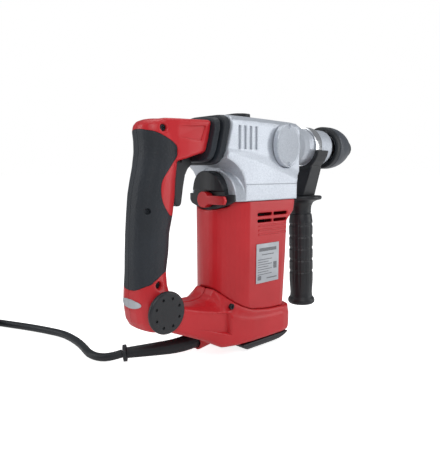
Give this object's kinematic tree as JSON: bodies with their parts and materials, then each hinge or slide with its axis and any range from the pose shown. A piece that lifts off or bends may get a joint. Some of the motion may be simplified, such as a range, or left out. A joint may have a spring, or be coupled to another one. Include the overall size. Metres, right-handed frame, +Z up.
{
  "type": "rotary hammer",
  "caption": "Electric rotary hammer with an upright motor column, a sprung rear D-handle on a lower pivot, a tilting side handle, a pull-back chuck and a mains cord.",
  "frame": {"origin": "on the base plane, at the middle of the flat base under the motor's axis", "axes": "+X along the drilling axis towards the tool, +Y to the tool's left, +Z up the motor's axis"},
  "size_m": [0.5705, 0.3817, 0.2762],
  "materials": {
    "red_plastic": "satin",
    "black_rubber": "matte",
    "black_plastic": "matte",
    "silver_casting": "painted satin",
    "bright_steel": "polished",
    "steel": "machined",
    "grey_sleeve": "satin",
    "copper": "machined",
    "brass": "machined",
    "carbon": "matte",
    "label": "satin"
  },
  "bodies": {
    "main_body": {"gearbox_housing": "silver_casting", "gearbox_side_cap": "silver_casting", "motor_housing": "red_plastic", "foot_shell_right": "red_plastic", "foot_shell_left": "red_plastic", "foot_screw": "bright_steel", "base_cap": "black_plastic", "selector_hood": "black_plastic", "rating_label": "label", "spindle_bearing": "bright_steel", "bearing_plate": "silver_casting", "upper_bearing": "bright_steel", "lower_bearing": "bright_steel", "field_stator": "steel", "brush_holders": "brass", "carbon_brush_front": "carbon", "carbon_brush_rear": "carbon", "pivot_pin": "steel", "pivot_cap_right": "black_plastic", "pivot_cap_left": "black_plastic", "cord_boot": "black_rubber", "power_cord": "black_rubber", "cord_coil": "black_rubber", "cord_tail": "black_rubber", "power_plug": "black_rubber", "handle_bellows": "black_rubber", "damping_spring": "steel"},
    "rear_handle": {"handle_shell_right": "red_plastic", "handle_shell_left": "red_plastic", "grip_rubber_right": "black_rubber", "grip_rubber_left": "black_rubber", "handle_badge": "label", "handle_screw_upper": "bright_steel", "handle_screw_lower": "bright_steel", "trigger_switch": "black_plastic"},
    "trigger_body": {"trigger": "black_plastic"},
    "armature": {"armature_shaft": "steel", "rotor_core": "steel", "commutator": "copper", "cooling_fan": "black_plastic"},
    "crank": {"crank_gear": "steel"},
    "idler": {"idler_gear": "steel"},
    "spindle": {"spindle_tube": "steel", "bevel_gear": "steel", "tool_holder": "steel", "locking_ball": "bright_steel", "chuck_spring": "steel", "dust_cap": "black_rubber"},
    "sleeve": {"chuck_sleeve": "grey_sleeve", "chuck_ring": "black_rubber"},
    "piston_body": {"piston": "steel"},
    "rod": {"con_rod": "steel"},
    "striker_body": {"striker": "bright_steel"},
    "bolt_body": {"impact_bolt": "bright_steel"},
    "lever": {"mode_lever": "red_plastic"},
    "knob": {"top_knob": "black_plastic"},
    "side_handle": {"aux_band": "bright_steel", "aux_bracket": "black_plastic", "aux_bolt": "steel"},
    "side_grip": {"aux_grip": "black_plastic"}
  },
  "joints": [
    {"name": "handle_pivot", "type": "hinge", "parent": "main_body", "child": "rear_handle", "pos_m": [-0.133, 0, 0.068], "axis": [0, 1, 0], "range_deg": [0, 2], "stiffness_Nm_per_rad": 500, "springref_deg": -0.57, "deforming": ["handle_bellows", "damping_spring"]},
    {"name": "trigger_pull", "type": "hinge", "parent": "rear_handle", "child": "trigger_body", "pos_m": [-0.096, 0, 0.22], "axis": [0, 1, 0], "range_deg": [0, 6], "stiffness_Nm_per_rad": 3, "springref_deg": -2.86},
    {"name": "armature_spin", "type": "hinge", "parent": "main_body", "child": "armature", "pos_m": [0, 0, 0.1], "axis": [0, 0, 1], "continuous": true},
    {"name": "crank_spin", "type": "hinge", "parent": "main_body", "child": "crank", "pos_m": [-0.0175, 0, 0.2], "axis": [0, 0, 1], "continuous": true},
    {"name": "idler_spin", "type": "hinge", "parent": "main_body", "child": "idler", "pos_m": [0.0175, 0, 0.2], "axis": [0, 0, 1], "continuous": true},
    {"name": "spindle_spin", "type": "hinge", "parent": "main_body", "child": "spindle", "pos_m": [0.1, 0, 0.242], "axis": [1, 0, 0], "continuous": true},
    {"name": "sleeve_slide", "type": "slide", "parent": "spindle", "child": "sleeve", "axis": [-1, 0, 0], "range_m": [0, 0.008], "stiffness_N_per_m": 2000, "springref_m": -0.004},
    {"name": "piston_slide", "type": "slide", "parent": "main_body", "child": "piston_body", "axis": [1, 0, 0], "range_m": [0, 0.0168]},
    {"name": "rod_swing", "type": "hinge", "parent": "piston_body", "child": "rod", "pos_m": [0.038, 0, 0.242], "axis": [0, 0, 1], "range_deg": [-7.5, 7.5]},
    {"name": "striker_slide", "type": "slide", "parent": "main_body", "child": "striker_body", "axis": [1, 0, 0], "range_m": [0, 0.014]},
    {"name": "bolt_slide", "type": "slide", "parent": "main_body", "child": "bolt_body", "axis": [1, 0, 0], "range_m": [0, 0.006]},
    {"name": "mode_select", "type": "hinge", "parent": "main_body", "child": "lever", "pos_m": [-0.054, 0, 0.1775], "axis": [1, 0, 0], "range_deg": [0, 180]},
    {"name": "knob_turn", "type": "hinge", "parent": "main_body", "child": "knob", "pos_m": [-0.0005, 0, 0.273], "axis": [0, 0, 1], "range_deg": [0, 90]},
    {"name": "side_handle_swing", "type": "hinge", "parent": "main_body", "child": "side_handle", "pos_m": [0.1166, 0, 0.242], "axis": [1, 0, 0], "continuous": true},
    {"name": "side_grip_turn", "type": "hinge", "parent": "side_handle", "child": "side_grip", "pos_m": [0.1166, -0.00243, 0.16004], "axis": [0, 0.0297, 0.9996], "continuous": true}
  ],
  "couplings": [
    {"joint": "crank_spin", "follows": "armature_spin", "ratio": -0.4},
    {"joint": "idler_spin", "follows": "armature_spin", "ratio": -0.4},
    {"joint": "spindle_spin", "follows": "armature_spin", "ratio": -0.16667}
  ]
}
